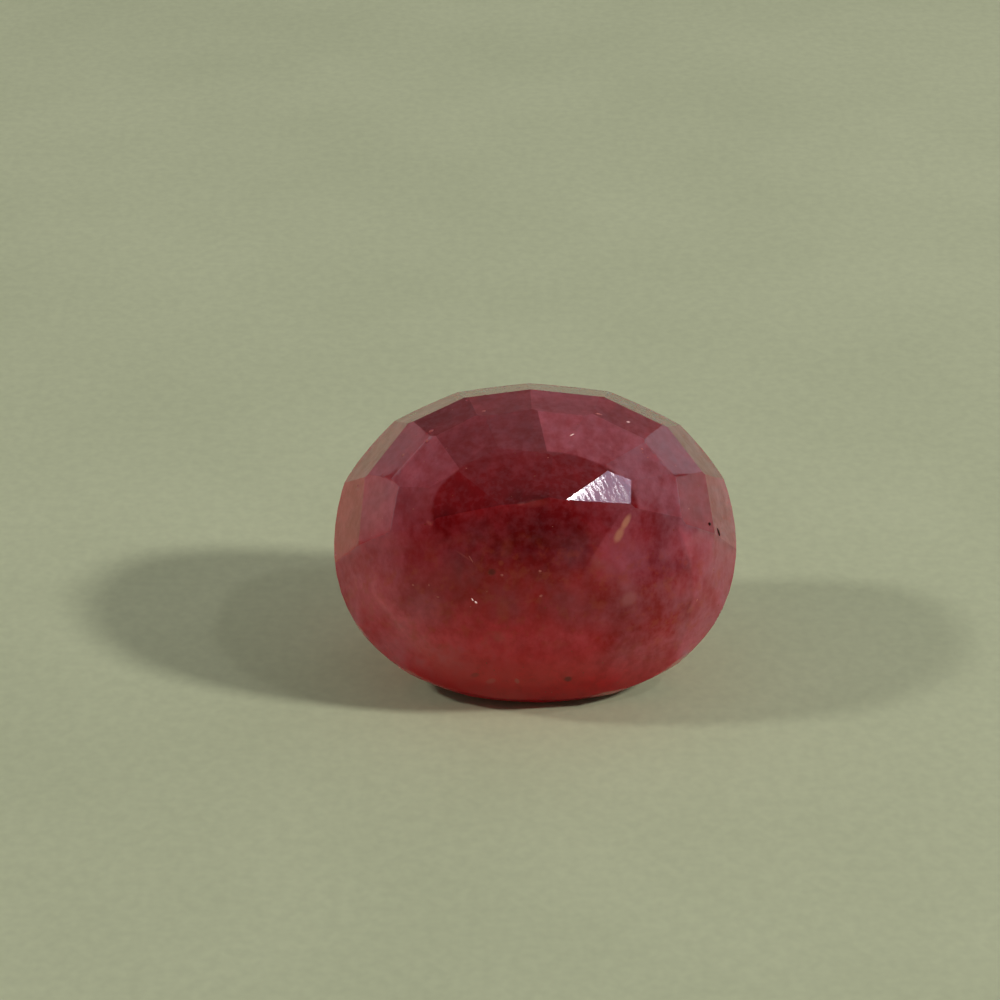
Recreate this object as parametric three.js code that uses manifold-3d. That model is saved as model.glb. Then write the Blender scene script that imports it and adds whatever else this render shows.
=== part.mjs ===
// An oval ruby, cut by hand: stepped rows of facets climb from the girdle to a short keel,
// and a lower crown with a small table closes the other side. The stone lies on one wide
// crown facet, so its keel side looks up and forward.
//
// The facets are laid out in the stone's own frame: x along the oval, y across it, and z up
// from the girdle towards the keel. Angles are in degrees round the oval, from +x towards +y.
import * as THREE from 'three';
import { mergeVertices } from 'three/addons/utils/BufferGeometryUtils.js';
import Module from 'manifold-3d';

// The girdle outline, in millimetres. A power of 2 is an ellipse, and more fills its shoulders.
const LENGTH = 12.0;
const WIDTH = 9.72;
const OVAL_POWER = 2.2;
const GIRDLE_SIDES = 72;

// Each ring is the girdle outline drawn in by its inset, at its height above the girdle.
const GIRDLE_RING = { inset: 0, height: 0.12 };
const FIRST_RING = { inset: 0.73, height: 1.86 };
const SECOND_RING = { inset: 1.66, height: 2.84 };

// Where neighbouring facets of a row meet: cut by eye, so the spacing is uneven.
const LOWER_JOINTS = [-3, 18, 39, 64, 92, 117, 139, 163, 187, 207, 228, 249, 270, 294, 319, 340];
const UPPER_JOINTS = [-1, 18, 35, 65, 89, 116, 140, 168, 187, 207, 228, 250, 271, 293, 322];

// The oval of flatter facets round the keel. Two facets of the row below, named by the joint
// that they start from, were cut too far and leave only a share of it.
const KEEL_OVAL = { length: 5.84, width: 3.52, shift: -0.1 };
const OVERCUT_SHARES = { 65: 0.9, 322: 0.84 };

// The keel and the facets that meet on it, each through one end of the keel.
const KEEL_HEIGHT = 4.46;
const KEEL_SLOPE = 22;
const KEEL_LEFT = new THREE.Vector3(-1.03, -0.1, KEEL_HEIGHT);
const KEEL_RIGHT = new THREE.Vector3(0.83, 0.05, KEEL_HEIGHT);
const KEEL_FACETS = [
  { end: KEEL_RIGHT, azimuths: [-76, -13, 18, 62] },
  { end: KEEL_LEFT, azimuths: [106, 166, 206, 258] },
];

// The crown, measured down from the girdle: small breaks along the girdle, wide mains,
// a shallow step and the table. The main at REST_AZIMUTH is the one that the stone lies on.
const BREAKS = { inset: 0, depth: 0.24, slope: 60 };
const MAINS = { inset: 0.34, depth: 0.84, slope: 45 };
const STEPS = { inset: 2.62, depth: 3.12, slope: 20 };
const TABLE_DEPTH = 3.38;
const MAIN_AZIMUTHS = [270, 322, 0, 38, 90, 142, 180, 218];
const REST_AZIMUTH = 270;

// The grinding block is a cube, larger than the stone.
const LAP_SIZE = 30;

const wasm = await Module();
wasm.setup();

function solidOf(geometry) {
  const bare = geometry.clone();
  bare.deleteAttribute('normal');
  bare.deleteAttribute('uv');
  const merged = mergeVertices(bare, 1e-5);
  const mesh = new wasm.Mesh({
    numProp: 3,
    vertProperties: new Float32Array(merged.attributes.position.array),
    triVerts: new Uint32Array(merged.index.array),
  });
  return new wasm.Manifold(mesh);
}

function geometryOf(solid) {
  const mesh = solid.getMesh();
  const geometry = new THREE.BufferGeometry();
  geometry.setAttribute('position', new THREE.BufferAttribute(mesh.vertProperties, 3));
  geometry.setIndex(new THREE.BufferAttribute(mesh.triVerts, 1));
  geometry.computeVertexNormals();
  return geometry;
}

// The point of an oval that lies in the direction (x, y) from its centre.
function ovalPoint(long, wide, x, y) {
  const reach = Math.pow(Math.abs(x / long), OVAL_POWER) + Math.pow(Math.abs(y / wide), OVAL_POWER);
  return new THREE.Vector2(x, y).multiplyScalar(Math.pow(reach, -1 / OVAL_POWER));
}

function ringPoint(ring, degrees) {
  const angle = THREE.MathUtils.degToRad(degrees);
  const point = ovalPoint(LENGTH / 2 - ring.inset, WIDTH / 2 - ring.inset, Math.cos(angle), Math.sin(angle));
  return new THREE.Vector3(point.x, point.y, ring.height);
}

// The point of a ring where the outline faces the given azimuth.
function facingPoint(ring, degrees) {
  const angle = THREE.MathUtils.degToRad(degrees);
  const long = LENGTH / 2 - ring.inset;
  const wide = WIDTH / 2 - ring.inset;
  const bend = 1 / (OVAL_POWER - 1);
  const x = Math.pow(Math.pow(long, OVAL_POWER) * Math.abs(Math.cos(angle)), bend);
  const y = Math.pow(Math.pow(wide, OVAL_POWER) * Math.abs(Math.sin(angle)), bend);
  const point = ovalPoint(long, wide, x * Math.sign(Math.cos(angle)), y * Math.sign(Math.sin(angle)));
  return new THREE.Vector3(point.x, point.y, -ring.depth);
}

// A facet's outward normal, from its azimuth and its slope to the girdle plane.
function facetNormal(azimuth, slope, side) {
  const turn = THREE.MathUtils.degToRad(azimuth);
  const tilt = THREE.MathUtils.degToRad(slope);
  return new THREE.Vector3(
    Math.sin(tilt) * Math.cos(turn),
    Math.sin(tilt) * Math.sin(turn),
    Math.cos(tilt) * side,
  );
}

// The plane of a facet through its two lower corners and the middle of its upper edge.
function facetPlane(first, second, upper) {
  const plane = new THREE.Plane().setFromCoplanarPoints(first, second, upper);
  return plane.distanceToPoint(new THREE.Vector3()) > 0 ? plane.negate() : plane;
}

// Grinds one facet: everything outside the plane is taken off.
function grind(stone, plane) {
  const lap = new THREE.BoxGeometry(LAP_SIZE, LAP_SIZE, LAP_SIZE);
  const turn = new THREE.Quaternion().setFromUnitVectors(new THREE.Vector3(0, 0, 1), plane.normal);
  lap.translate(0, 0, LAP_SIZE / 2 - plane.constant);
  lap.applyQuaternion(turn);
  return stone.subtract(solidOf(lap));
}

function neighbours(joints) {
  return joints.map((joint, index) => [joint, joints[(index + 1) % joints.length]]);
}

// The blank: a prism of the girdle outline, from the table to the keel.
function makeBlank() {
  const outline = new THREE.Shape();
  for (let side = 0; side < GIRDLE_SIDES; side++) {
    const corner = ringPoint(GIRDLE_RING, (side * 360) / GIRDLE_SIDES);
    if (side === 0) outline.moveTo(corner.x, corner.y);
    else outline.lineTo(corner.x, corner.y);
  }
  outline.closePath();
  const depth = TABLE_DEPTH + KEEL_HEIGHT + 1;
  const blank = new THREE.ExtrudeGeometry(outline, { depth, bevelEnabled: false });
  blank.translate(0, 0, -TABLE_DEPTH);
  return solidOf(blank);
}

function keelPlanes() {
  return KEEL_FACETS.flatMap(({ end, azimuths }) => azimuths.map((azimuth) =>
    new THREE.Plane().setFromNormalAndCoplanarPoint(facetNormal(azimuth, KEEL_SLOPE, 1), end)));
}

// A row between two rings.
function rowPlanes(lower, upper, joints) {
  return neighbours(joints).map(([from, to]) => {
    const middle = ringPoint(upper, from).add(ringPoint(upper, to)).multiplyScalar(0.5);
    return facetPlane(ringPoint(lower, from), ringPoint(lower, to), middle);
  });
}

// The row that runs from the second ring up to the oval of keel facets.
function shoulderPlanes(keel) {
  const surface = ({ x, y }) =>
    Math.min(...keel.map(({ normal, constant }) => -(constant + normal.x * x + normal.y * y) / normal.z));
  const keelLong = KEEL_OVAL.length / (LENGTH - 2 * SECOND_RING.inset);
  const keelWide = KEEL_OVAL.width / (WIDTH - 2 * SECOND_RING.inset);
  return neighbours(UPPER_JOINTS).map(([from, to]) => {
    const share = OVERCUT_SHARES[from] ?? 1;
    const middle = ringPoint(SECOND_RING, from).add(ringPoint(SECOND_RING, to)).multiplyScalar(share / 2);
    middle.x = middle.x * keelLong + KEEL_OVAL.shift;
    middle.y *= keelWide;
    middle.z = surface(middle);
    return facetPlane(ringPoint(SECOND_RING, from), ringPoint(SECOND_RING, to), middle);
  });
}

// A crown row: each facet grazes its ring where the outline faces the facet's azimuth.
function crownPlanes(ring, azimuths) {
  return azimuths.map((azimuth) => new THREE.Plane().setFromNormalAndCoplanarPoint(
    facetNormal(azimuth, ring.slope, -1), facingPoint(ring, azimuth)));
}

const girdleRow = rowPlanes(GIRDLE_RING, FIRST_RING, LOWER_JOINTS);
const breakAzimuths = girdleRow.map(({ normal }) =>
  THREE.MathUtils.radToDeg(Math.atan2(normal.y, normal.x)));
const keel = keelPlanes();
const facets = [
  ...girdleRow,
  ...rowPlanes(FIRST_RING, SECOND_RING, LOWER_JOINTS),
  ...shoulderPlanes(keel),
  ...keel,
  ...crownPlanes(BREAKS, breakAzimuths),
  ...crownPlanes(MAINS, MAIN_AZIMUTHS),
  ...crownPlanes(STEPS, MAIN_AZIMUTHS),
];
const cutStone = geometryOf(facets.reduce(grind, makeBlank()));

// The stone is laid on its rest facet, with that facet level and the middle of its box over the origin.
const restNormal = facetNormal(REST_AZIMUTH, MAINS.slope, -1);
const laid = new THREE.Quaternion().setFromUnitVectors(restNormal, new THREE.Vector3(0, 0, -1));
const box = new THREE.Box3().setFromBufferAttribute(
  cutStone.clone().applyQuaternion(laid).attributes.position);
const middle = box.getCenter(new THREE.Vector3());

const stoneFinish = new THREE.MeshStandardMaterial({ color: 0x8c2c36, roughness: 0.12, metalness: 0 });
const stone = new THREE.Mesh(cutStone, stoneFinish);
stone.name = 'stone';
stone.quaternion.copy(laid);
stone.position.set(-middle.x, -middle.y, -box.min.z);

const ruby = new THREE.Group();
ruby.add(stone);

export default ruby;
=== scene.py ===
# %% [markdown]
# # A faceted oval ruby
# The stone is loose and lies on pale paper, on one wide facet of its crown, with its keel
# side up and towards the camera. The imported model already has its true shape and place, so
# it is loaded first and everything else is set against it. Blender works in metres here,
# and the stone is about 12 mm long, so sizes are written in millimetres and scaled by MM.

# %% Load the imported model
import math
import random

import bmesh
import bpy
import numpy as np
from mathutils import Matrix, Vector, noise
from mathutils.bvhtree import BVHTree


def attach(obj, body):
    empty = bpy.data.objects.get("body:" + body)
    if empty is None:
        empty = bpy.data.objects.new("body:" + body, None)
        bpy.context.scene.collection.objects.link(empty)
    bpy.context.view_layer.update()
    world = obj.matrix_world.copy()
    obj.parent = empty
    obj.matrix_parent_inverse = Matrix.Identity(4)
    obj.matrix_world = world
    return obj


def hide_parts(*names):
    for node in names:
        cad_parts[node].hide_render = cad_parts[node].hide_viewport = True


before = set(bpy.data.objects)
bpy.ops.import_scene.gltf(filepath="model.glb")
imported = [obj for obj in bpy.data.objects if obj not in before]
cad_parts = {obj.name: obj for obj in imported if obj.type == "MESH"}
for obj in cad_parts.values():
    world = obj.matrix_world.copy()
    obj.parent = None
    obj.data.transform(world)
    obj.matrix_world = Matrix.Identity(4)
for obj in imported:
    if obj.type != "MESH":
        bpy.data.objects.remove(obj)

MM = 0.001
scene = bpy.context.scene
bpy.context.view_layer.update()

# %% [markdown]
# ## Camera
# The photograph looks down at the stone by about 30 degrees, from the keel side, through a
# long lens. A long lens keeps the facets' proportions. The camera is aimed a little to the
# left of the stone and above it, because the stone sits right of and below the middle of
# the picture. Lens shift would do that too, but it would stay in every other view.

# %% Camera
LENS = 120.0
SENSOR = 36.0
PICTURE = 1000
GIRDLE_CENTRE = Vector((0.0, 0.3886, 3.6440)) * MM
VIEW_ELEVATION = math.radians(30)
VIEW_BACK = Vector((0.0, -math.cos(VIEW_ELEVATION), math.sin(VIEW_ELEVATION)))
VIEW_RIGHT = Vector((1.0, 0.0, 0.0))
VIEW_UP = VIEW_BACK.cross(VIEW_RIGHT)
CAMERA_DISTANCE = 99.6 * MM
AIM_LEFT = 1.045 * MM
AIM_ABOVE = 1.254 * MM
CAMERA_AIM = GIRDLE_CENTRE - AIM_LEFT * VIEW_RIGHT + AIM_ABOVE * VIEW_UP

camera = bpy.data.objects.new("camera", bpy.data.cameras.new("camera"))
scene.collection.objects.link(camera)
camera.location = CAMERA_AIM + VIEW_BACK * CAMERA_DISTANCE
camera.rotation_mode = "QUATERNION"
camera.rotation_quaternion = (-VIEW_BACK).to_track_quat("-Z", "Y")
camera.data.lens = LENS
camera.data.sensor_width = SENSOR
camera.data.clip_start = 0.001
camera.data.clip_end = 10.0
scene.camera = camera
print("camera at", [round(value / MM, 1) for value in camera.location], "mm")

# %% [markdown]
# ## Helpers for materials
# A material is a net of nodes, and each node takes several lines: make it, set it, link it.
# These helpers do that in one call, with plain values or the outputs of other nodes, so the
# materials below read like recipes.

# %% Node helpers
def new_material(name):
    """An empty material with its output node."""
    material = bpy.data.materials.new(name)
    material.use_nodes = True
    material.node_tree.nodes.clear()
    output = material.node_tree.nodes.new("ShaderNodeOutputMaterial")
    return material, material.node_tree, output


def add(tree, kind, values=None, **settings):
    """A node with its settings, and plain values or links for its sockets."""
    node = tree.nodes.new("ShaderNode" + kind)
    for name, value in settings.items():
        setattr(node, name, value)
    for name, value in (values or {}).items():
        if isinstance(value, bpy.types.NodeSocket):
            tree.links.new(value, node.inputs[name])
        else:
            node.inputs[name].default_value = value
    return node


def ramp(tree, factor, stops):
    """A colour ramp through (place, colour) stops."""
    node = add(tree, "ValToRGB", {"Fac": factor})
    while len(node.color_ramp.elements) < len(stops):
        node.color_ramp.elements.new(0.5)
    for element, (place, colour) in zip(node.color_ramp.elements, stops):
        element.position = place
        element.color = (*colour, 1.0)
    return node.outputs["Color"]


def blend(tree, factor, first, second, kind="MIX"):
    """Two colours mixed by a factor."""
    node = add(tree, "Mix", data_type="RGBA", blend_type=kind)
    for socket, value in (("Factor_Float", factor), ("A_Color", first), ("B_Color", second)):
        target = next(item for item in node.inputs if item.identifier == socket)
        if isinstance(value, bpy.types.NodeSocket):
            tree.links.new(value, target)
        else:
            target.default_value = value
    return next(item for item in node.outputs if item.identifier == "Result_Color")


# %% [markdown]
# ## Paper ground
# The stone lies on a sheet of sage-grey paper. A flat plane would end in a hard horizon in
# low views, so the sheet runs out flat round the stone and then sweeps up like a photo cove.
# It stays lowest in front, where the photographer stands, so the lower facets mirror a dark
# room and show the body colour.

# %% Sheet of paper
PAPER_RINGS = [0, 6, 12, 20, 32, 50, 80, 130, 200, 260, 300, 340, 375, 405, 430, 450, 465, 475, 480]
PAPER_SPOKES = 96
PAPER_FLAT = 260
PAPER_RISE = 110


def make_paper():
    bm = bmesh.new()
    centre = bm.verts.new((0, 0, 0))
    previous = None
    for reach in PAPER_RINGS[1:]:
        ring = []
        for spoke in range(PAPER_SPOKES):
            angle = 2 * math.pi * spoke / PAPER_SPOKES
            height = PAPER_RISE * (0.75 + 0.25 * math.sin(angle))
            climb = max(0.0, (reach - PAPER_FLAT) / (PAPER_RINGS[-1] - PAPER_FLAT))
            lift = height * (1 - math.sqrt(max(0.0, 1 - climb * climb)))
            outwards = Vector((math.cos(angle), math.sin(angle), 0.0))
            ring.append(bm.verts.new((outwards * reach + Vector((0.0, 0.0, lift))) * MM))
        for spoke in range(PAPER_SPOKES):
            after = (spoke + 1) % PAPER_SPOKES
            if previous is None:
                bm.faces.new((centre, ring[spoke], ring[after]))
            else:
                bm.faces.new((previous[spoke], ring[spoke], ring[after], previous[after]))
        previous = ring
    mesh = bpy.data.meshes.new("paper")
    bm.to_mesh(mesh)
    bm.free()
    mesh.shade_smooth()
    paper = bpy.data.objects.new("paper", mesh)
    scene.collection.objects.link(paper)
    return paper


paper = make_paper()
print("paper faces:", len(paper.data.polygons))


# %% Look of the paper
def paper_material():
    material, tree, output = new_material("sage_paper")
    place = add(tree, "TexCoord").outputs["Object"]
    cloud = add(tree, "TexNoise", {"Vector": place, "Scale": 90.0, "Detail": 2.0, "Roughness": 0.6})
    grain = add(tree, "TexNoise", {"Vector": place, "Scale": 2600.0, "Detail": 1.0, "Roughness": 0.7})
    tone = ramp(tree, cloud.outputs["Fac"], [(0.35, (0.615, 0.66, 0.435)), (0.65, (0.655, 0.70, 0.465))])
    speck = ramp(tree, grain.outputs["Fac"], [(0.3, (0.93, 0.93, 0.93)), (0.7, (1.0, 1.0, 1.0))])
    colour = blend(tree, 1.0, tone, speck, "MULTIPLY")
    bump = add(tree, "Bump", {"Height": grain.outputs["Fac"], "Strength": 0.25, "Distance": 0.00002})
    surface = add(tree, "BsdfPrincipled", {
        "Base Color": colour, "Roughness": 0.85, "Specular IOR Level": 0.2,
        "Normal": bump.outputs["Normal"]})
    tree.links.new(surface.outputs["BSDF"], output.inputs["Surface"])
    return material


paper.data.materials.append(paper_material())
print("nodes in the paper:", len(paper.data.materials[0].node_tree.nodes))

# %% [markdown]
# ## Light
# Two lamps stand to the sides: the right one is stronger and casts the darker shadow to the
# left, and the left one casts the paler shadow to the right. Polished facets show whatever they
# mirror, so four wide, dim panels stand low at the sides and behind: without them the steep
# facets near the outline would turn black. The room gives a dim fill that is brighter behind.

# %% Light
def add_lamp(name, direction, distance, width, power, colour):
    lamp = bpy.data.lights.new(name, "AREA")
    lamp.shape = "DISK"
    lamp.size = width * MM
    lamp.energy = power
    lamp.color = colour
    holder = bpy.data.objects.new(name, lamp)
    scene.collection.objects.link(holder)
    towards = Vector(direction).normalized()
    holder.location = GIRDLE_CENTRE + towards * distance * MM
    holder.rotation_mode = "QUATERNION"
    holder.rotation_quaternion = towards.to_track_quat("Z", "Y")
    holder.visible_camera = False


LAMP_DISTANCE = 350
LAMP_WIDTH = 36
LAMP_COLOUR = (1.0, 0.98, 0.94)
PANEL_WIDTH = 156
PANEL_COLOUR = (0.96, 0.97, 1.0)
RIGHT_LAMP_WAY = Vector((0.80, -0.17, 0.575)).normalized()
add_lamp("lamp_right", RIGHT_LAMP_WAY, LAMP_DISTANCE, LAMP_WIDTH, power=0.53, colour=LAMP_COLOUR)
add_lamp("lamp_left", (-0.79, 0.0, 0.62), LAMP_DISTANCE, LAMP_WIDTH, power=0.258, colour=LAMP_COLOUR)
add_lamp("panel_right", (0.93, 0.28, 0.22), LAMP_DISTANCE, PANEL_WIDTH, power=0.040, colour=PANEL_COLOUR)
add_lamp("panel_left", (-0.93, 0.28, 0.22), LAMP_DISTANCE, PANEL_WIDTH, power=0.037, colour=PANEL_COLOUR)
add_lamp("panel_back", (0.62, 0.66, 0.42), LAMP_DISTANCE,
         width=120, power=0.032, colour=(0.85, 0.85, 1.0))
add_lamp("panel_behind_left", (-0.62, 0.68, 0.39), LAMP_DISTANCE,
         width=110, power=0.013, colour=(0.92, 0.94, 1.0))

# %% Room
# How bright the room is at shares of the way from the front to the back.
ROOM_FILL = [(0.0, 0.06), (0.35, 0.08), (0.6, 0.17), (0.85, 0.27)]
room = bpy.data.worlds.new("room")
room.use_nodes = True
scene.world = room
tree = room.node_tree
tree.nodes.clear()
direction = add(tree, "SeparateXYZ", {"Vector": add(tree, "TexCoord").outputs["Generated"]})
depth = add(tree, "MapRange", {"Value": direction.outputs["Y"], "From Min": -1.0, "From Max": 1.0})
fill = ramp(tree, depth.outputs["Result"], [(place, (grey, grey, grey)) for place, grey in ROOM_FILL])
left = add(tree, "MapRange", {
    "Value": direction.outputs["X"], "From Min": -0.35, "From Max": 0.0, "To Min": 0.65, "To Max": 1.0})
background = add(tree, "Background", {"Color": fill, "Strength": left.outputs["Result"]})
add(tree, "OutputWorld", {"Surface": background.outputs["Background"]})
scene.view_settings.view_transform = "Standard"
scene.cycles.use_denoising = True
print("nodes in the room:", len(tree.nodes))

# %% [markdown]
# ## The cut stone
# A polished facet is flat and its edges are crisp, as in the upper half of this stone. In the
# lower half the edges are worn, so the facets there melt into one dome. The imported solid has
# dead sharp edges everywhere, and its facets are split into triangles. These are joined into
# whole facets again, so that each can get a painted shade of its own: through every facet one
# looks into the stone in another direction and sees more or less of its depth, and how light or
# dark that looks is painted into the facet.

# %% The stone's own frame
GIRDLE_MIDDLE = Vector((0.0, 0.2425, 3.7901)) * MM
ACROSS = Vector((0.0, 1.0, 1.0)).normalized()
KEEL_AXIS = Vector((0.0, -1.0, 1.0)).normalized()


def in_stone_frame(point):
    """A point as (along the oval, across it, up to the keel), in mm."""
    arm = (point - GIRDLE_MIDDLE) / MM
    return Vector((arm.x, arm.dot(ACROSS), arm.dot(KEEL_AXIS)))


print("the stone's frame starts at", [round(value / MM, 2) for value in GIRDLE_MIDDLE], "mm")

# %% Painted shade of each facet
# Painted shade: how red and how milky each facet of the keel oval is made to look, by azimuth in degrees.
KEEL_PAINTED_SHADES = [((10, 90), 0.74, 0.14), ((90, 130), 0.70, 0.2), ((130, 190), 0.70, 0.05)]

# The same painted shade for the rows outside the oval, by slope and azimuth. The last entry darkens
# the crown facets that face the paper, as painted shade under the stone.
ROW_PAINTED_SHADES = [
    ((0, 40), (0, 60), 1.20, 1.2), ((0, 40), (60, 90), 1.25, 0.88), ((0, 40), (90, 125), 0.74, 0.36),
    ((0, 40), (125, 165), 1.05, 1.0), ((0, 40), (165, 190), 0.93, 0.9),
    ((40, 55), (0, 20), 0.97, 0.3), ((40, 55), (20, 50), 0.85, 0.1), ((40, 55), (50, 75), 0.95, 0.35),
    ((40, 55), (75, 90), 1.00, 0.5), ((40, 55), (90, 105), 0.75, 0.2), ((40, 55), (105, 125), 0.58, 0.15),
    ((40, 55), (125, 160), 0.90, 0.3), ((40, 55), (160, 190), 1.04, 0.4),
    ((55, 85), (0, 30), 1.25, 1.2), ((55, 85), (160, 200), 1.10, 0.5),
    ((85, 95), (0, 360), 0.85, 0.8), ((95, 180), (240, 300), 0.30, 0.3)]
# The layers that carry each facet's painted shade.
PAINTED_SHADE_LAYERS = ("row_red", "row_milk", "keel_red", "keel_milk")


def painted_facet_shades(normal):
    """A facet's painted shade as red and milk, outside the keel oval and inside: 1 where nothing is set.
    """
    slope = math.degrees(math.acos(max(-1.0, min(1.0, normal.dot(KEEL_AXIS)))))
    azimuth = math.degrees(math.atan2(normal.dot(ACROSS), normal.x)) % 360
    outside = [(red, milk) for slopes, azimuths, red, milk in ROW_PAINTED_SHADES
               if slopes[0] <= slope < slopes[1] and azimuths[0] <= azimuth < azimuths[1]]
    inside = [(red, milk) for azimuths, red, milk in KEEL_PAINTED_SHADES
              if azimuths[0] <= azimuth < azimuths[1]]
    return (*(outside or [(1.0, 1.0)])[0], *(inside or [(1.0, 1.0)])[0])


print("red and milk of a facet that faces the keel's way:", painted_facet_shades(KEEL_AXIS))

# %% Whole facets
SAME_POINT = 0.0005 * MM
FLAT_ENOUGH = math.radians(0.4)
SHORTEST_EDGE = 0.06 * MM


def whole_facets():
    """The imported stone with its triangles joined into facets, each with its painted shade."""
    bm = bmesh.new()
    bm.from_mesh(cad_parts["stone"].data)
    bmesh.ops.remove_doubles(bm, verts=bm.verts, dist=SAME_POINT)
    bmesh.ops.dissolve_limit(bm, angle_limit=FLAT_ENOUGH, verts=bm.verts, edges=bm.edges)
    bmesh.ops.remove_doubles(bm, verts=bm.verts, dist=SHORTEST_EDGE)
    layers = [bm.faces.layers.float.new(look) for look in PAINTED_SHADE_LAYERS]
    for face in bm.faces:
        for layer, value in zip(layers, painted_facet_shades(face.normal)):
            face[layer] = value
    return bm


cut = whole_facets()
print("facets:", len(cut.faces))

# %% [markdown]
# ## Chamfers
# Even a crisp edge isn't dead sharp: the last polish leaves a thin line of light along it. A
# bevel as fine as a hair gives that line. Only edges with little wear get one, because a worn
# edge has a softer shape, which comes next.

# %% Hair-fine chamfers on the crisp edges
CHAMFER = 0.018 * MM
CRISP_WEAR = 0.011 * MM
DEEPEST_WEAR = 0.085 * MM
KEEL_SIDE = 0.1

# Where the wear is, in mm in the stone's frame: how high it starts, and how far down the keel side.
WEAR_START = 0.15
WEAR_FULL = 0.5
WORN_HALF = -0.45
WORN_FADE = 0.7
SECOND_RING = 2.7
LEAST_WEAR = 0.005
SIDE_WEAR = 0.027
keel_side = [face for face in cut.faces if face.normal.dot(KEEL_AXIS) > KEEL_SIDE]
planes = [(tuple(face.normal), face.normal.dot(face.verts[0].co)) for face in keel_side]


def wear_at(point):
    """How far wear has rounded the edges at a point: most in the lower half, least round the keel."""
    along, across, up = in_stone_frame(point)
    if up < WEAR_START:
        return 0.0
    lower = max(0.0, min(1.0, (WORN_HALF - across) / WORN_FADE))
    sides = max(0.0, min(1.0, (abs(along) - 1.8) / 0.8))
    second_ring = max(0.0, 1 - abs(up - SECOND_RING) / 0.4)
    upper = (LEAST_WEAR + SIDE_WEAR * sides * second_ring) * MM
    return max(lower * DEEPEST_WEAR, upper) * min(1.0, (up - WEAR_START) / WEAR_FULL)


def edge_middle(edge):
    return (edge.verts[0].co + edge.verts[1].co) / 2


crisp = [edge for edge in cut.edges if wear_at(edge_middle(edge)) < CRISP_WEAR]
bmesh.ops.bevel(cut, geom=crisp, offset=CHAMFER, segments=1, affect="EDGES", clamp_overlap=True)

# The bevel leaves gaps in the list of faces, and which gap is filled first changes from run to run.
# A copy has no gaps, so the faces that come next have the same order in every run.
cut = cut.copy()
print("faces with chamfers:", len(cut.faces))

# %% [markdown]
# ## Worn edges
# A bevel would leave each worn edge with two new edges of its own. Wear is softer than that:
# the worn facets are divided into fine triangles, and every point of them sinks to a soft
# blend of the facet planes round it. In the middle of a facet that is the facet itself, and
# near an edge it is a rounded shoulder.

# %% Wear
DIVIDE_TIMES = 4
SMALLEST_FACET = 0.02 * MM * MM


def divide_worn_facets(bm):
    """Splits the worn facets into triangles, and each of those into four, again and again."""
    worn = [face for face in bm.faces
            if face.calc_area() > SMALLEST_FACET and face.normal.dot(KEEL_AXIS) > KEEL_SIDE
            and any(wear_at(vertex.co) > CRISP_WEAR for vertex in face.verts)]
    parts = bmesh.ops.triangulate(bm, faces=worn)["faces"]
    for _ in range(DIVIDE_TIMES):
        edges = list(dict.fromkeys(edge for face in parts for edge in face.edges))
        inner = bmesh.ops.subdivide_edges(bm, edges=edges, cuts=1, use_grid_fill=True)["geom_inner"]
        corners = [item for item in inner if isinstance(item, bmesh.types.BMVert)]
        touched = dict.fromkeys(face for corner in corners for face in corner.link_faces)
        parts = [face for face in touched if len(face.verts) == 3]
    bmesh.ops.triangulate(bm, faces=[face for face in bm.faces if len(face.verts) > 4])


def wear_down(bm):
    """Sinks each worn point to a soft blend of all the facet planes near it."""
    normals = np.array([normal for normal, _ in planes])
    depths = np.array([depth for _, depth in planes])
    for vertex in bm.verts:
        wear = wear_at(vertex.co)
        if wear > CRISP_WEAR:
            heights = (normals @ np.array(vertex.co) - depths) / wear
            pulls = np.exp(heights - heights.max())
            sink = (heights.max() + math.log(pulls.sum())) * wear
            way = Vector((normals * pulls[:, None]).sum(0)).normalized()
            vertex.co -= way * max(0.0, sink)


divide_worn_facets(cut)
wear_down(cut)
stone = bpy.data.objects.new("ruby", bpy.data.meshes.new("ruby"))
cut.to_mesh(stone.data)
cut.free()
scene.collection.objects.link(stone)
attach(stone, "root")
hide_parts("stone")
print("faces with wear:", len(stone.data.polygons))

# %% [markdown]
# ## Places on the stone
# Marks are placed where the photograph shows them. A ray goes from the camera through a pixel
# of the picture to the stone, and the mark is set into the facet that the ray meets, so it
# sits on the stone in every view.

# %% From a pixel of the picture to a place on the stone
PIXEL = 1 / 33.48 * MM
PICTURE_FOCUS = LENS / SENSOR * PICTURE


def surface_of(mesh):
    """A mesh made ready for rays."""
    corners = [vertex.co for vertex in mesh.vertices]
    return BVHTree.FromPolygons(corners, [tuple(face.vertices) for face in mesh.polygons])


def on_stone(surface, column, row):
    """Where the sight through a pixel meets the stone, and the facet's normal there."""
    half = PICTURE / 2
    sight = VIEW_RIGHT * (column - half) + VIEW_UP * (half - row) - VIEW_BACK * PICTURE_FOCUS
    place, normal, _, _ = surface.ray_cast(camera.location, sight.normalized())
    return place, normal


stone_surface = surface_of(stone.data)
keel_place, _ = on_stone(stone_surface, 535, 498)
print("middle of the keel:", [round(value, 2) for value in in_stone_frame(keel_place)])

# %% [markdown]
# ## Two small lamps for the bright facet
# One facet beside the keel flashes white at its left corner and lilac over the rest. A facet
# is a flat mirror, so the lamps belong where the camera's sight is mirrored to by that facet.
# The white lamp is moved left until its edge cuts across the facet, and a dim lilac one
# behind it fills what is left.

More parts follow.
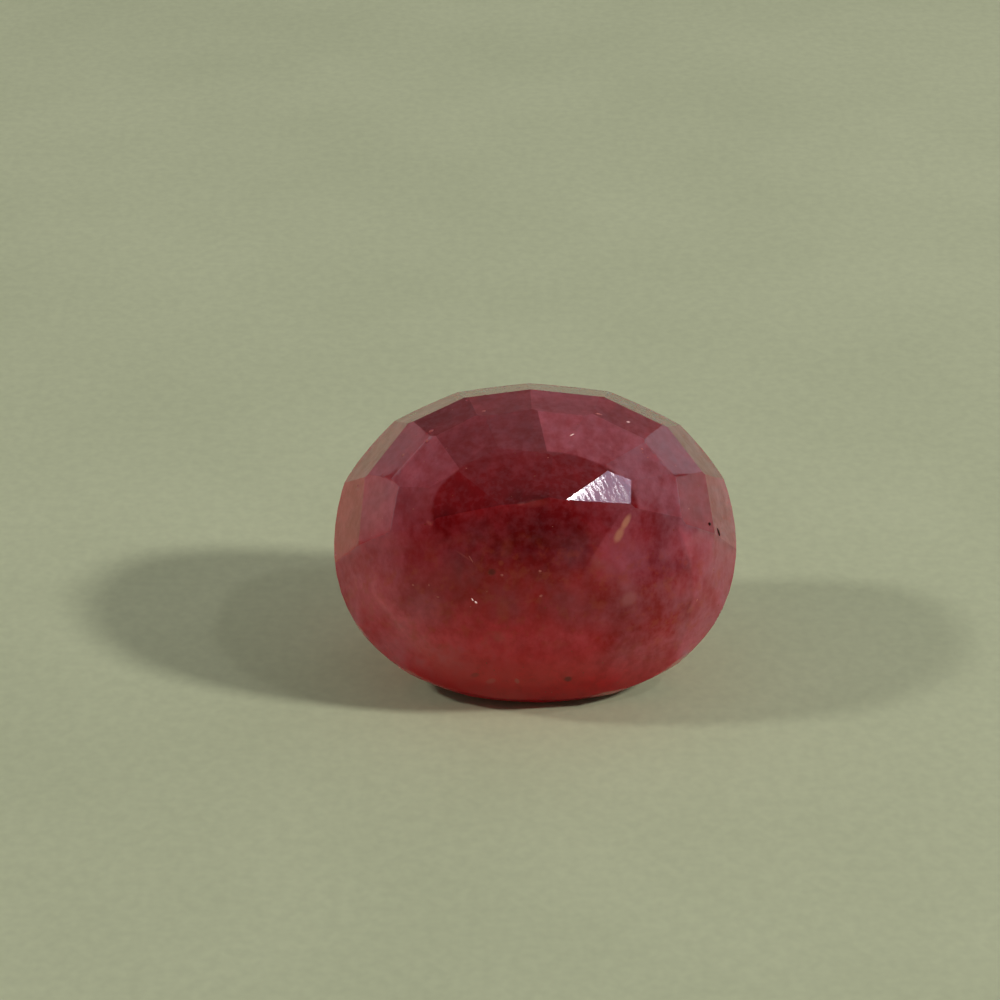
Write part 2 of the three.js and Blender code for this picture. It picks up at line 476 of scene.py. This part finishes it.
# %% Small lamps, mirrored by one facet
facet_place, facet_normal = on_stone(stone_surface, 600, 490)
sight = (facet_place - camera.location).normalized()
mirrored = sight - 2 * sight.dot(facet_normal) * facet_normal
sideways = (VIEW_RIGHT - mirrored * VIEW_RIGHT.dot(mirrored)).normalized()
WHITE_SHIFT = 13.9
white_way = mirrored * LAMP_DISTANCE - sideways * WHITE_SHIFT
add_lamp("lamp_white", white_way, LAMP_DISTANCE, 22, 0.065, (1.0, 0.97, 1.0))
add_lamp("lamp_lilac", mirrored, LAMP_DISTANCE + 2, 20, 0.0040, (0.76, 0.72, 1.0))
print("the bright facet mirrors", [round(value, 2) for value in mirrored])

# %% [markdown]
# ## Nicks
# Hard stones chip where facets meet. A nick is a small shell-shaped bite out of an edge. Each
# one is a dented little ball, and a boolean cuts them all away, so they are real hollows. Some
# are where the photograph shows them, and others are spread by a fixed seed along the girdle.

# %% Shapes of the nicks
NICKS_SEEN = [
    (431, 431, 0.09), (427, 442, 0.07), (403, 455, 0.06), (484, 411, 0.06), (411, 421, 0.06),
    (467, 400, 0.06), (628, 422, 0.05), (432, 524, 0.06), (662, 424, 0.06), (606, 399, 0.05),
    (388, 533, 0.05), (358, 486, 0.06)]
GIRDLE_NICKS = 26
NICK_SEED = 11
NICK_TONE = 1.1


def nick_ball(bm, place, normal, size, chance):
    """A dented ball, a little outside the surface, that bites a shallow shell out of it."""
    made = bmesh.ops.create_icosphere(bm, subdivisions=2, radius=1.0)["verts"]
    turn = normal.to_track_quat("Z", "Y").to_matrix()
    stretch = chance.uniform(0.8, 1.7)
    spin = Matrix.Rotation(chance.uniform(0, math.pi), 3, "Z")
    shift = Vector((chance.uniform(0, 50), chance.uniform(0, 50), chance.uniform(0, 50)))
    for vertex in made:
        dent = 1 + 0.22 * noise.noise(vertex.co * 1.7 + shift)
        shape = spin @ Vector((vertex.co.x * stretch, vertex.co.y, vertex.co.z * 0.8)) * dent
        vertex.co = place + normal * size * 0.42 + turn @ shape * size


def nick_mesh():
    bm = bmesh.new()
    chance = random.Random(NICK_SEED)
    for column, row, size in NICKS_SEEN:
        place, normal = on_stone(stone_surface, column, row)
        nick_ball(bm, place, normal, size * MM, chance)
    for _ in range(GIRDLE_NICKS):
        angle = chance.uniform(0, 2 * math.pi)
        outwards = VIEW_RIGHT * math.cos(angle) + ACROSS * math.sin(angle)
        start = GIRDLE_MIDDLE + (outwards + KEEL_AXIS * chance.choice((-0.02, 0.02))) * 20 * MM
        place, normal, _, _ = stone_surface.ray_cast(start, (GIRDLE_MIDDLE - start).normalized())
        nick_ball(bm, place, normal, chance.uniform(0.04, 0.09) * MM, chance)
    for look in PAINTED_SHADE_LAYERS:
        layer = bm.faces.layers.float.new(look)
        for face in bm.faces:
            face[layer] = NICK_TONE
    mesh = bpy.data.meshes.new("nicks")
    bm.to_mesh(mesh)
    bm.free()
    return mesh


print("nicks:", len(NICKS_SEEN), "seen and", GIRDLE_NICKS, "along the girdle")


# %% Nicks in the facet edges
def cut_nicks(stone):
    """Bites the nicks out of the stone, and takes the balls away again."""
    balls = bpy.data.objects.new("nicks", nick_mesh())
    scene.collection.objects.link(balls)
    bite = stone.modifiers.new("nicks", "BOOLEAN")
    bite.operation = "DIFFERENCE"
    bite.solver = "MANIFOLD"
    bite.object = balls
    graph = bpy.context.evaluated_depsgraph_get()
    stone.data = bpy.data.meshes.new_from_object(stone.evaluated_get(graph))
    stone.data.name = "ruby"
    stone.modifiers.clear()
    bpy.data.objects.remove(balls)


cut_nicks(stone)
print("faces with nicks:", len(stone.data.polygons))

# %% [markdown]
# ## Sharp and soft edges
# Smooth shading alone would blur the crisp facets, and flat shading would show every small
# triangle of the worn ones. So all faces are smooth, and an edge is marked sharp where its two
# faces turn by more than a limit. The limit is small where the cut is crisp and large where it
# is worn.

# %% Sharp edges
CRISP_LIMIT = 1.0
SOFT_LIMIT = 2.4
WORN_LIMIT = 10.4


def mark_sharp(mesh):
    """Marks the edges that are still crisp, and lets the light run smoothly over the others."""
    bm = bmesh.new()
    bm.from_mesh(mesh)
    for edge in bm.edges:
        middle = edge_middle(edge)
        wear = wear_at(middle)
        _, across, up = in_stone_frame(middle)
        if across < WORN_HALF and up > 0.05:
            limit = WORN_LIMIT
        elif wear < CRISP_WEAR:
            limit = CRISP_LIMIT
        else:
            limit = SOFT_LIMIT + (WORN_LIMIT - SOFT_LIMIT) * math.sqrt(wear / DEEPEST_WEAR)
        edge.smooth = edge.calc_face_angle(0.0) < math.radians(limit)
    for face in bm.faces:
        face.smooth = True
    bm.to_mesh(mesh)
    bm.free()


mark_sharp(stone.data)
print("sharp edges:", sum(edge.use_edge_sharp for edge in stone.data.edges))

# %% [markdown]
# ## The ruby's body
# Chromium makes a ruby red, and fine silk inside makes it milky. This stone has much of both,
# spread unevenly, so its colour is worked out from two amounts, red and milk, at each place in
# the stone. A picture laid over it would fit one side only. Both amounts also carry painted glow
# and painted shade. The helpers come first: sums, the place in the stone's own frame, smooth
# steps, and spots that fade with distance.

# %% Helpers for amounts that change over the stone
def calc(tree, operation, *values):
    """A Math node of the given values or sockets."""
    node = add(tree, "Math", operation=operation)
    for socket, value in zip(node.inputs, values):
        if isinstance(value, bpy.types.NodeSocket):
            tree.links.new(value, socket)
        else:
            socket.default_value = value
    return node.outputs[0]


def stone_place(tree):
    """Shader place in the stone's own frame, in mm: along the oval, across it, and up to the keel."""
    place = add(tree, "TexCoord").outputs["Object"]
    return add(tree, "Mapping", {
        "Vector": place,
        "Location": (0.0, -GIRDLE_MIDDLE.dot(ACROSS) / MM, -GIRDLE_MIDDLE.dot(KEEL_AXIS) / MM),
        "Rotation": (math.radians(-45), 0.0, 0.0),
        "Scale": (1 / MM, 1 / MM, 1 / MM)}).outputs["Vector"]


def rise(tree, value, low, high, first=0.0, last=1.0):
    """A smooth step from first to last as the value goes from low to high."""
    return add(tree, "MapRange", {
        "Value": value, "From Min": low, "From Max": high, "To Min": first, "To Max": last},
        interpolation_type="SMOOTHSTEP").outputs["Result"]


def near(tree, place, spot, reach, strength):
    """The strength at a spot of the stone, fading to 0 at its reach."""
    away = add(tree, "VectorMath", {0: place, 1: spot}, operation="DISTANCE").outputs["Value"]
    return rise(tree, away, 0.0, reach, strength, 0.0)


def with_spots(tree, amount, place, spots):
    """An amount, with more or less of it at each (spot, reach, strength)."""
    for spot, reach, strength in spots:
        amount = calc(tree, "ADD", amount, near(tree, place, spot, reach, strength))
    return amount


def grey_ramp(tree, value, low, high, stops):
    """An amount that runs through (share, amount) stops as the value goes from low to high."""
    share = add(tree, "MapRange", {"Value": value, "From Min": low, "From Max": high}).outputs["Result"]
    return ramp(tree, share, [(stop, (amount, amount, amount)) for stop, amount in stops])


# %% [markdown]
# ## Red and milk
# Red is strongest at the bottom, where the light that entered the stone gathers: that rise is
# painted glow. Red is also a little stronger to the left. Milk is thin in the middle of the keel
# side, where one looks deep into clearer stone, and thick all round it; the thin milk there is
# also painted shade, which darkens the thick middle. Each facet scales both by its own painted
# shade, which changes at the smooth outline of the keel oval. Noise of two sizes mottles them,
# and a few spots are set where the photograph shows more or less of one.

# %% Amounts of red and milk
KEEL_OVAL_MIDDLE = (-0.03, 0.0)
KEEL_OVAL_HALVES = (2.97, 1.66)
# Inside this oval the milk is thin: clearer stone, and painted shade that darkens the thick middle.
CLEAR_AND_SHADED_OVAL_MIDDLE = (-0.4, -1.2)
CLEAR_AND_SHADED_OVAL_HALVES = (3.6, 2.8)

# How red the body is at shares of the way from the bottom to the top; the rise at the bottom is painted
# glow.
RED_AND_PAINTED_GLOW_BY_HEIGHT = [
    (0.0, 1.0), (0.11, 0.93), (0.19, 0.80), (0.26, 0.62), (0.33, 0.50), (0.47, 0.44), (0.62, 0.43),
    (1.0, 0.42)]

# Each spot is a place in the stone's frame in mm, its reach in mm, and how much it adds.
RED_SPOTS = [
    ((-2.6, -0.5, 3.8), 0.7, -0.17), ((0.2, -0.7, 4.2), 2.0, -0.22), ((-2.2, -1.5, 3.6), 1.5, -0.07),
    ((-1.3, -0.9, 4.1), 1.2, -0.11), ((1.25, -2.0, 3.5), 1.3, 0.06), ((2.7, -3.4, 1.9), 1.4, -0.14),
    ((-4.8, -2.1, 1.2), 1.8, 0.24), ((4.3, -1.9, 2.3), 0.7, 0.12), ((2.0, -3.9, 1.6), 1.2, -0.14),
    ((-3.4, 1.2, 3.1), 0.8, 0.08), ((4.1, -0.9, 2.7), 0.8, 0.12), ((0.4, 0.45, 4.4), 0.7, 0.06),
    ((-0.6, -0.5, 4.4), 0.8, -0.05), ((3.3, -4.0, 0.6), 1.2, -0.13)]
MILK_SPOTS = [
    ((0.9, -2.6, 3.1), 1.0, 0.4), ((-1.7, -0.7, 4.1), 0.8, 0.25), ((1.1, -1.45, 3.85), 0.9, 0.5),
    ((-1.0, -1.4, 3.9), 0.5, 0.25), ((-3.9, -3.3, 1.6), 0.9, 0.4), ((3.2, -0.9, 3.1), 0.7, -0.3),
    ((-4.6, -1.8, 1.6), 1.6, 0.3), ((-2.3, -1.5, 3.6), 1.2, 0.4), ((-3.2, -2.7, 2.4), 1.0, 0.55),
    ((-4.2, -3.4, 0.4), 1.0, 0.5), ((3.4, -1.9, 2.8), 1.1, -0.35), ((3.1, -0.4, 3.4), 1.0, -0.5),
    ((3.0, -3.2, 2.1), 1.4, -0.5), ((-0.8, -2.7, 3.1), 0.9, 0.4), ((-3.4, 1.2, 3.1), 0.8, 0.25),
    ((4.1, -2.3, 2.1), 1.9, -0.42), ((4.0, -3.1, 1.5), 0.9, -0.35), ((1.8, -3.7, 1.9), 1.1, -0.75),
    ((2.0, -2.3, 3.2), 0.8, -0.3), ((5.3, -1.7, 0.9), 0.9, -0.25), ((3.3, -4.0, 0.6), 1.2, -0.3),
    ((1.5, -0.9, 4.0), 0.6, 0.15), ((-2.6, -0.5, 3.8), 0.6, -0.3)]
print("spots of red:", len(RED_SPOTS), "and of milk:", len(MILK_SPOTS))


# %% How red and how milky a place is
def oval_share(tree, along, across, middle, halves):
    """The square of how far out a place is in an oval: 0 at its middle and 1 on its outline."""
    sideways = calc(tree, "DIVIDE", calc(tree, "SUBTRACT", along, middle[0]), halves[0])
    upwards = calc(tree, "DIVIDE", calc(tree, "SUBTRACT", across, middle[1]), halves[1])
    return calc(tree, "ADD", calc(tree, "POWER", sideways, 2.0), calc(tree, "POWER", upwards, 2.0))


def painted_facet_shade(tree, along, across, look):
    """A facet's painted shade, which changes at the smooth outline of the keel oval."""
    share = oval_share(tree, along, across, KEEL_OVAL_MIDDLE, KEEL_OVAL_HALVES)
    outside = rise(tree, share, 0.95, 1.05)
    row = add(tree, "Attribute", attribute_name="row_" + look).outputs["Fac"]
    keel = add(tree, "Attribute", attribute_name="keel_" + look).outputs["Fac"]
    return calc(tree, "MULTIPLY_ADD", calc(tree, "SUBTRACT", row, keel), outside, keel)


def body_red(tree, along, across, place, mottle, fleck):
    """How red the body is: most at the bottom, as painted glow, and more to the left."""
    red = grey_ramp(tree, across, -4.8, 2.2, RED_AND_PAINTED_GLOW_BY_HEIGHT)
    lean = calc(tree, "MULTIPLY_ADD", calc(tree, "MINIMUM", along, 2.2), -0.06, 1.0)
    facet = painted_facet_shade(tree, along, across, "red")
    clouds = rise(tree, mottle, 0.3, 0.7, 0.86, 1.14)
    flecks = rise(tree, fleck, 0.3, 0.7, 0.92, 1.08)
    for factor in (lean, facet, clouds, flecks):
        red = calc(tree, "MULTIPLY", red, factor)
    return with_spots(tree, red, place, RED_SPOTS)


def body_milk(tree, along, across, place, mottle, fleck):
    """How milky the body is: clear in the middle of the keel side, partly as painted shade, and at the
    bottom.
    """
    away = calc(tree, "SQRT", oval_share(tree, along, across, CLEAR_AND_SHADED_OVAL_MIDDLE, CLEAR_AND_SHADED_OVAL_HALVES))
    milk = rise(tree, away, 0.45, 1.25, 0.1, 1.0)
    for factor in (painted_facet_shade(tree, along, across, "milk"), rise(tree, mottle, 0.3, 0.7, 0.6, 1.4)):
        milk = calc(tree, "MULTIPLY", milk, factor)
    milk = with_spots(tree, milk, place, MILK_SPOTS)
    milk = calc(tree, "ADD", milk, rise(tree, fleck, 0.3, 0.7, -0.13, 0.18))
    milk = calc(tree, "MULTIPLY", milk, rise(tree, across, -4.6, -3.5))
    return calc(tree, "MAXIMUM", milk, 0.0)


print("keel oval in mm:", [round(2 * half, 2) for half in KEEL_OVAL_HALVES])

# %% [markdown]
# ## Marks below the surface
# Some guests lie under the polish and look blurred: a golden needle, tan and pale clouds, and
# smoky grains. Plates of their own would break the glossy surface, so they are soft ovals in
# the body colour that reach a little way into the stone. Noise spreads small tan stains through
# the lower half. Beside the needle a healed crack makes a light patch with one straight edge,
# and a pale rim closes the stone at the lower right.

# %% Soft ovals
MARK_DEPTH = 0.4
KEEL_TO_VIEW = math.radians(15)
NEEDLE_GOLD = (0.84, 0.43, 0.27)
TAN = (0.62, 0.13, 0.065)
PALE = (0.80, 0.21, 0.19)
LILAC = (0.60, 0.19, 0.21)
SMOKE = (0.15, 0.020, 0.012)

# Column, row, length, width and angle in the picture, in pixels and degrees, then colour and strength.
SOFT_MARKS = [
    (626, 522, 19, 7, 60, NEEDLE_GOLD, 0.75), (619, 535, 18, 9, 62, NEEDLE_GOLD, 0.7),
    (537, 503, 28, 9, 5, TAN, 0.14), (629, 599, 19, 15, 40, LILAC, 0.8),
    (604, 566, 34, 14, -35, LILAC, 0.3), (492, 572, 9, 8, 0, SMOKE, 0.7),
    (501, 563, 6, 6, 0, TAN, 0.5), (568, 679, 9, 7, 10, SMOKE, 0.75),
    (475, 675, 11, 6, 15, SMOKE, 0.45), (491, 681, 12, 6, 15, PALE, 0.4),
    (517, 681, 7, 5, -55, PALE, 0.6), (503, 610, 16, 34, 0, TAN, 0.3),
    (499, 637, 15, 13, 0, PALE, 0.3), (507, 548, 14, 24, -12, TAN, 0.22),
    (429, 523, 8, 4, -40, PALE, 0.5), (464, 556, 22, 2, -33, PALE, 0.3),
    (521, 504, 9, 4, 10, PALE, 0.2)]


def soft_mark(tree, place, column, row, length, width, angle, strength):
    """A blurred oval that lies in the picture's plane, just below the surface."""
    middle = in_stone_frame(on_stone(stone_surface, column, row)[0])
    size = PIXEL / MM / 2
    turn = Matrix.Rotation(KEEL_TO_VIEW, 3, "X") @ Matrix.Rotation(math.radians(angle), 3, "Z")
    oval = add(tree, "Mapping", {
        "Vector": place, "Location": middle, "Rotation": turn.to_euler(),
        "Scale": (length * size, width * size, MARK_DEPTH)}, vector_type="TEXTURE").outputs["Vector"]
    away = add(tree, "VectorMath", {0: oval}, operation="LENGTH").outputs["Value"]
    return rise(tree, away, 0.4, 1.15, strength, 0.0)


print("soft marks:", len(SOFT_MARKS))

# %% Crack, stains and rim
CRACK_PLACE = (2.3, -1.3, 3.6)
CRACK_REACH = 1.5
CRACK_WAY = (0.838, -0.546)
CRACK_EDGE = (2.07, 2.17)
RIM_BEND = 0.18
RIM_EDGE = (4.5, 4.66)


def healed_crack(tree, along, across, place):
    """The light patch right of the needle, with a straight left edge."""
    leftwards = calc(tree, "MULTIPLY", across, CRACK_WAY[1])
    slant = calc(tree, "MULTIPLY_ADD", along, CRACK_WAY[0], leftwards)
    patch = near(tree, place, CRACK_PLACE, CRACK_REACH, 1.0)
    return calc(tree, "MULTIPLY", rise(tree, slant, *CRACK_EDGE), patch)


def rust_stain(tree, across, place):
    """Small tan stains, spread through the lower half."""
    stain = add(tree, "TexNoise", {"Vector": place, "Scale": 2.6, "Detail": 3.0, "Roughness": 0.65})
    lower = calc(tree, "MULTIPLY", rise(tree, across, -0.4, -1.6), rise(tree, across, -4.2, -3.2))
    return calc(tree, "MULTIPLY", rise(tree, stain.outputs["Fac"], 0.5, 0.66, 0.0, 0.3), lower)


def right_rim(tree, along, across):
    """The pale rim at the lower right, with a curved inner edge."""
    below = calc(tree, "POWER", calc(tree, "ADD", across, 2.0), 2.0)
    reach = calc(tree, "MULTIPLY_ADD", below, RIM_BEND, along)
    return calc(tree, "MULTIPLY", rise(tree, reach, *RIM_EDGE), rise(tree, across, -0.2, -0.6))


print("the crack is at", CRACK_PLACE, "mm in the stone's frame")

# %% [markdown]
# ## Polish and depth
# Light enters the stone, is scattered by the silk and comes out red, so the body is mostly
# subsurface scattering that reaches far for red and hardly at all for green and blue. About a
# third of it is plain transmission with corundum's index of 1.77, tinted by absorption, so thin
# edges glow. The polish has fine lines from the lap, which are a little rougher than the rest,
# and worn facets in the lower half mirror less.

# %% Colour of the body
# The green and blue that one unit of milk or of red brings with it.
MILK_GREEN = 0.105
MILK_BLUE = 0.138
RED_GREEN = 0.010
RED_BLUE = 0.026

# The red and milk that the crack and the rim add.
CRACK_RED = 0.2
CRACK_MILK = 0.8
RIM_RED = 0.16
RIM_MILK = 0.22


def body_colour(tree, along, across, place):
    """The colour that red and milk give, with the marks below the surface."""
    tall = add(tree, "Mapping", {"Vector": place, "Scale": (1.7, 1.0, 1.2)}).outputs["Vector"]
    clouds = add(tree, "TexNoise", {"Vector": tall, "Scale": 1.1, "Detail": 4.0, "Roughness": 0.6})
    flecks = add(tree, "TexNoise", {"Vector": place, "Scale": 4.0, "Detail": 3.0, "Roughness": 0.6})
    mottle, fleck = clouds.outputs["Fac"], flecks.outputs["Fac"]
    crack = healed_crack(tree, along, across, place)
    rim = right_rim(tree, along, across)
    red = body_red(tree, along, across, place, mottle, fleck)
    red = calc(tree, "MULTIPLY_ADD", crack, CRACK_RED, red)
    red = calc(tree, "MINIMUM", calc(tree, "MULTIPLY_ADD", rim, RIM_RED, red), 1.0)
    milk = body_milk(tree, along, across, place, mottle, fleck)
    milk = calc(tree, "MULTIPLY_ADD", crack, CRACK_MILK, milk)
    milk = calc(tree, "MULTIPLY_ADD", rim, RIM_MILK, milk)
    body = add(tree, "CombineColor", {
        "Red": red,
        "Green": calc(tree, "MULTIPLY_ADD", milk, MILK_GREEN, calc(tree, "MULTIPLY", red, RED_GREEN)),
        "Blue": calc(tree, "MULTIPLY_ADD", milk, MILK_BLUE, calc(tree, "MULTIPLY", red, RED_BLUE))})
    colour = blend(tree, rust_stain(tree, across, place), body.outputs["Color"], (*TAN, 1.0))
    for column, row, length, width, angle, tint, strength in SOFT_MARKS:
        shape = soft_mark(tree, place, column, row, length, width, angle, strength)
        colour = blend(tree, shape, colour, (*tint, 1.0))
    return colour


print("pure milk is", (0.0, MILK_GREEN, MILK_BLUE), "and pure red", (1.0, RED_GREEN, RED_BLUE))

# %% Ruby
CORUNDUM_INDEX = 1.77
LAP_LINES_TURN = 2.05

# How much the surface mirrors at shares of the way from the bottom to the keel.
SHINE_BY_HEIGHT = [
    (0.0, 0.3), (0.34, 0.5), (0.54, 0.5), (0.66, 0.28), (0.78, 0.25), (0.88, 0.6), (1.0, 1.0)]


def ruby_material():
    material, tree, output = new_material("ruby_body")
    place = stone_place(tree)
    axes = add(tree, "SeparateXYZ", {"Vector": place})
    along, across, up = (axes.outputs[axis] for axis in "XYZ")
    lines = add(tree, "Mapping", {
        "Vector": place, "Rotation": (0.0, 0.0, LAP_LINES_TURN), "Scale": (0.7, 0.08, 0.3)},
        vector_type="TEXTURE")
    polish = add(tree, "TexNoise", {
        "Vector": lines.outputs["Vector"], "Scale": 1.0, "Detail": 4.0, "Roughness": 0.6}).outputs["Fac"]
    girdle = rise(tree, calc(tree, "ABSOLUTE", up), 0.2, 0.35, 0.12, 0.0)
    rough = calc(tree, "ADD", rise(tree, polish, 0.45, 0.65, 0.015, 0.12), girdle)
    bump = add(tree, "Bump", {"Height": polish, "Strength": 0.006, "Distance": 0.00001})
    surface = add(tree, "BsdfPrincipled", {
        "Base Color": body_colour(tree, along, across, place),
        "Roughness": rough,
        "Normal": bump.outputs["Normal"],
        "IOR": CORUNDUM_INDEX,
        "Specular IOR Level": 0.25,
        "Specular Tint": grey_ramp(tree, across, -4.7, 0.3, SHINE_BY_HEIGHT),
        "Transmission Weight": 0.35,
        "Subsurface Weight": 1.0,
        "Subsurface Radius": (8.0, 1.0, 0.8),
        "Subsurface Scale": 0.001})
    tree.links.new(surface.outputs["BSDF"], output.inputs["Surface"])
    absorb = add(tree, "VolumeAbsorption", {"Color": (0.9, 0.05, 0.08, 1.0), "Density": 60.0})
    tree.links.new(absorb.outputs["Volume"], output.inputs["Volume"])
    return material


stone.data.materials.clear()
stone.data.materials.append(ruby_material())
print("nodes in the ruby:", len(stone.data.materials[0].node_tree.nodes))

# %% [markdown]
# ## Grains open in the facets
# Where the cutter's lap met a grain, it lies open in the facet, as two black ones do at the
# right. A painted dot would have no edge and no gloss of its own, so each grain is a thin uneven
# plate, set into the facet with its top just clear of it. The plates of one kind are one object.

# %% Plates set into the facets
def add_plate(bm, place, facing, lengthwise, length, width, thick, chance):
    """A closed plate with an uneven rim. Its middle is at the given place."""
    ahead = (lengthwise - facing * lengthwise.dot(facing)).normalized()
    aside = facing.cross(ahead)
    loops = []
    reaches = [chance.uniform(0.78, 1.12) for _ in range(9)]
    for share, lift in ((0.62, 0.5), (1.0, 0.1), (0.8, -0.5)):
        loop = []
        for side, reach in enumerate(reaches):
            angle = 2 * math.pi * side / len(reaches)
            flat = ahead * math.cos(angle) * length / 2 + aside * math.sin(angle) * width / 2
            loop.append(bm.verts.new(place + flat * reach * share + facing * lift * thick))
        loops.append(loop)
    for upper, lower in zip(loops, loops[1:]):
        for side in range(len(upper)):
            after = (side + 1) % len(upper)
            bm.faces.new((upper[side], lower[side], lower[after], upper[after]))
    bm.faces.new(loops[0])
    bm.faces.new(list(reversed(loops[-1])))


def finish_piece(name, bm, material):
    """Turns the plates into an object that goes with the stone."""
    mesh = bpy.data.meshes.new(name)
    bmesh.ops.recalc_face_normals(bm, faces=bm.faces)
    bm.to_mesh(mesh)
    bm.free()
    mesh.materials.append(material)
    piece = bpy.data.objects.new(name, mesh)
    scene.collection.objects.link(piece)
    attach(piece, "root")
    print(name, "faces:", len(mesh.polygons))


# %% Grains where the photograph shows them
def seen_plates(name, marks, thick, material, seed, tilted=False):
    """Plates at (column, row, length, width, angle): pixels of the picture and degrees.

    A tilted plate turns about its length until it mirrors the right lamp to the camera.
    """
    bm = bmesh.new()
    chance = random.Random(seed)
    for column, row, length, width, angle in marks:
        place, normal = on_stone(stone_surface, column, row)
        turn = math.radians(angle)
        lengthwise = VIEW_RIGHT * math.cos(turn) + VIEW_UP * math.sin(turn)
        if tilted:
            mirror = ((camera.location - place).normalized() + RIGHT_LAMP_WAY).normalized()
            lengthwise = normal.cross(mirror)
            normal = mirror
        add_plate(bm, place, normal, lengthwise, length * PIXEL, width * PIXEL, thick * MM, chance)
    finish_piece(name, bm, material)


def grain_material(name, dark, light, scale, roughness, level):
    """A mineral grain in two tones, mottled by noise."""
    material, tree, output = new_material(name)
    cloud = add(tree, "TexNoise", {"Vector": stone_place(tree), "Scale": scale, "Detail": 3.0})
    colour = ramp(tree, cloud.outputs["Fac"], [(0.35, dark), (0.65, light)])
    bump = add(tree, "Bump", {"Height": cloud.outputs["Fac"], "Strength": 0.3, "Distance": 0.00001})
    surface = add(tree, "BsdfPrincipled", {
        "Base Color": colour, "Roughness": roughness, "Specular IOR Level": level,
        "Normal": bump.outputs["Normal"]})
    tree.links.new(surface.outputs["BSDF"], output.inputs["Surface"])
    return material


BLACK_GRAINS = [(709.5, 524, 4, 3.5, 20), (718.5, 532.5, 10, 4, -47)]
black = grain_material("black_grain", (0.014, 0.005, 0.004), (0.03, 0.012, 0.01), 30.0, 0.6, 0.05)
seen_plates("black_grains", BLACK_GRAINS, thick=0.06, material=black, seed=21)

# %% [markdown]
# ## Flakes and glints
# Flakes of broken silk lie flat in the facets, paler than the stone, and their pale colour is
# also painted highlight for faint sparkles there. A few chips flash white in the photograph.
# White paint would shine from every side, so each of these stands at the tilt that mirrors the
# right lamp to the camera, and from elsewhere it is plain, as a real glint is.

# %% Flakes and glints
# Pale flakes; their colour is partly painted highlight, for faint sparkles at these places.
FLAKES_AND_PAINTED_SPARKLES = [
    (541, 596, 3.5, 2.5, 20), (484, 411, 4, 2.5, 0), (599, 414, 7, 3, 5), (431, 431, 5, 2.5, -10),
    (427, 441, 4.5, 3, -20), (403, 455, 4, 3.5, 0), (642, 449, 3, 2, 0), (540, 571, 3, 2.5, 0),
    (502, 575, 3, 2.5, 0), (413, 585, 2.5, 2.5, 0), (429, 585, 2.5, 2.5, 0), (438, 597, 3, 2, 0),
    (697, 600, 3, 2.5, 30), (471, 559, 8, 1.2, -60)]
GLINTS = [(472.5, 599.5, 4, 2.5, 0), (476, 602, 4, 3, 0), (572, 435, 6, 2, 0), (628, 422, 5, 2, 0)]
flake_and_painted_sparkle = grain_material("flake_and_painted_sparkle", (0.46, 0.11, 0.10), (0.62, 0.21, 0.19), 20.0, 0.45, 0.1)
glint = grain_material("glint", (0.6, 0.25, 0.22), (0.8, 0.4, 0.36), 20.0, 0.3, 0.5)
seen_plates("flakes_and_painted_sparkles", FLAKES_AND_PAINTED_SPARKLES, thick=0.02, material=flake_and_painted_sparkle, seed=25)
seen_plates("glints", GLINTS, thick=0.02, material=glint, seed=26, tilted=True)

# %% [markdown]
# ## Fine grains
# The whole stone has grains too small to place by hand, also on the sides that the photograph
# doesn't show. They are spread by a fixed seed, so they are the same in every run. Each one
# picks a triangle of the stone by its area, so large facets get more than small ones.

# %% Fine grains all over
def scattered_plates(name, count, small, large, thick, material, seed):
    """Small plates spread evenly over the whole stone."""
    bm = bmesh.new()
    chance = random.Random(seed)
    stone.data.calc_loop_triangles()
    triangles = list(stone.data.loop_triangles)
    weights = [triangle.area for triangle in triangles]
    for triangle in chance.choices(triangles, weights, k=count):
        a, b, c = (stone.data.vertices[index].co for index in triangle.vertices)
        u, v = sorted((chance.random(), chance.random()))
        place = a * u + b * (v - u) + c * (1 - v)
        lengthwise = Vector((chance.uniform(-1, 1), chance.uniform(-1, 1), chance.uniform(-1, 1)))
        width = chance.uniform(small, large) * MM
        length = width * chance.uniform(1.0, 1.8)
        add_plate(bm, place, triangle.normal, lengthwise, length, width, thick * MM, chance)
    finish_piece(name, bm, material)


pale = grain_material("cream_grain", (0.38, 0.11, 0.09), (0.5, 0.18, 0.14), 14.0, 0.5, 0.0)
brown = grain_material("brown_grain", (0.20, 0.04, 0.02), (0.28, 0.07, 0.04), 12.0, 0.6, 0.0)
scattered_plates(
    "fine_pale_grains", count=90, small=0.02, large=0.04, thick=0.01, material=pale, seed=31)
scattered_plates(
    "fine_brown_grains", count=120, small=0.02, large=0.045, thick=0.01, material=brown, seed=32)
